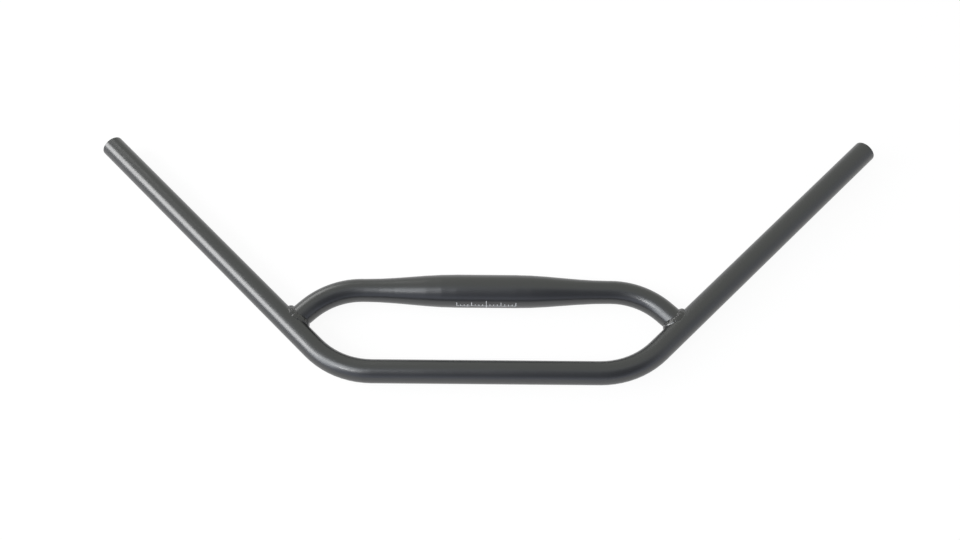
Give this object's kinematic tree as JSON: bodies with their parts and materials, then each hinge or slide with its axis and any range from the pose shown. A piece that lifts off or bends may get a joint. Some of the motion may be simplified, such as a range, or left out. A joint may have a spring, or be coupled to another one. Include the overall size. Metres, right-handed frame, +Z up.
{
  "type": "bicycle loop handlebar",
  "caption": "Multi-grip loop handlebar: one bent tube forms the front bar and swept grips, and a second tube, swaged wide for the stem clamp, is coped and welded across it.",
  "frame": {"origin": "centre of the stem clamp zone, on the axis of the clamp tube", "axes": "X across the bicycle along the clamp axis, Y from the front bar towards the rider, Z up out of the plane of the bar"},
  "size_m": [0.7858, 0.2667, 0.0318],
  "materials": {
    "tube_paint": "satin black anodised",
    "weld_paint": "satin black over laid weld"
  },
  "bodies": {
    "root": {"grip_tube": "tube_paint", "clamp_tube": "tube_paint", "left_weld_bead": "weld_paint", "right_weld_bead": "weld_paint"}
  },
  "joints": []
}
